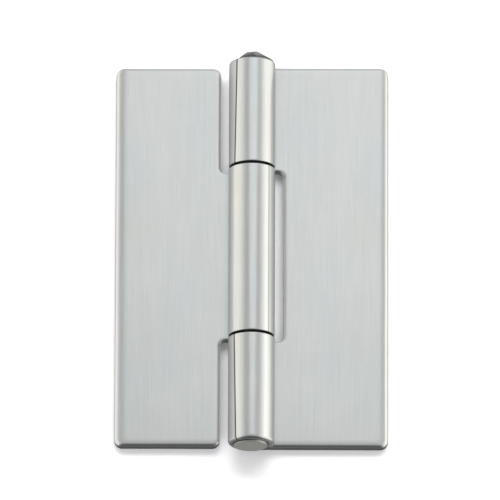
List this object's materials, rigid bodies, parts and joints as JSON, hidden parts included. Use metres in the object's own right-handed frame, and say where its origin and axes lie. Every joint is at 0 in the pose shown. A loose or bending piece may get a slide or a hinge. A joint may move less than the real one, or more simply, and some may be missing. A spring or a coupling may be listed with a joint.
{
  "type": "butt hinge",
  "caption": "Plain weld-on butt hinge, open flat: two rectangular rolled sheet-steel leaves with interlocking knuckles on a fixed pin with a peened head.",
  "frame": {"origin": "on the flat back of the leaves, under the pin's axis, midway between the pin's two ends", "axes": "+X across the right leaf, +Y along the pin towards its peened head, +Z out of the front faces of the leaves"},
  "size_m": [0.07, 0.106, 0.0119],
  "materials": {
    "leaf_steel": "fine brushed hairline along the pin's direction on the leaves, satin polished barrel",
    "pin_steel": "dull ground foot and rough hammered head"
  },
  "bodies": {
    "fixed_leaf": {"right_leaf": "leaf_steel", "hinge_pin": "pin_steel"},
    "swinging_leaf": {"left_leaf": "leaf_steel"}
  },
  "joints": [
    {"name": "leaf_swing", "type": "hinge", "parent": "fixed_leaf", "child": "swinging_leaf", "pos_m": [0, -0.00112, 0.00595], "axis": [0, 1, 0], "range_deg": [-100, 185]}
  ]
}
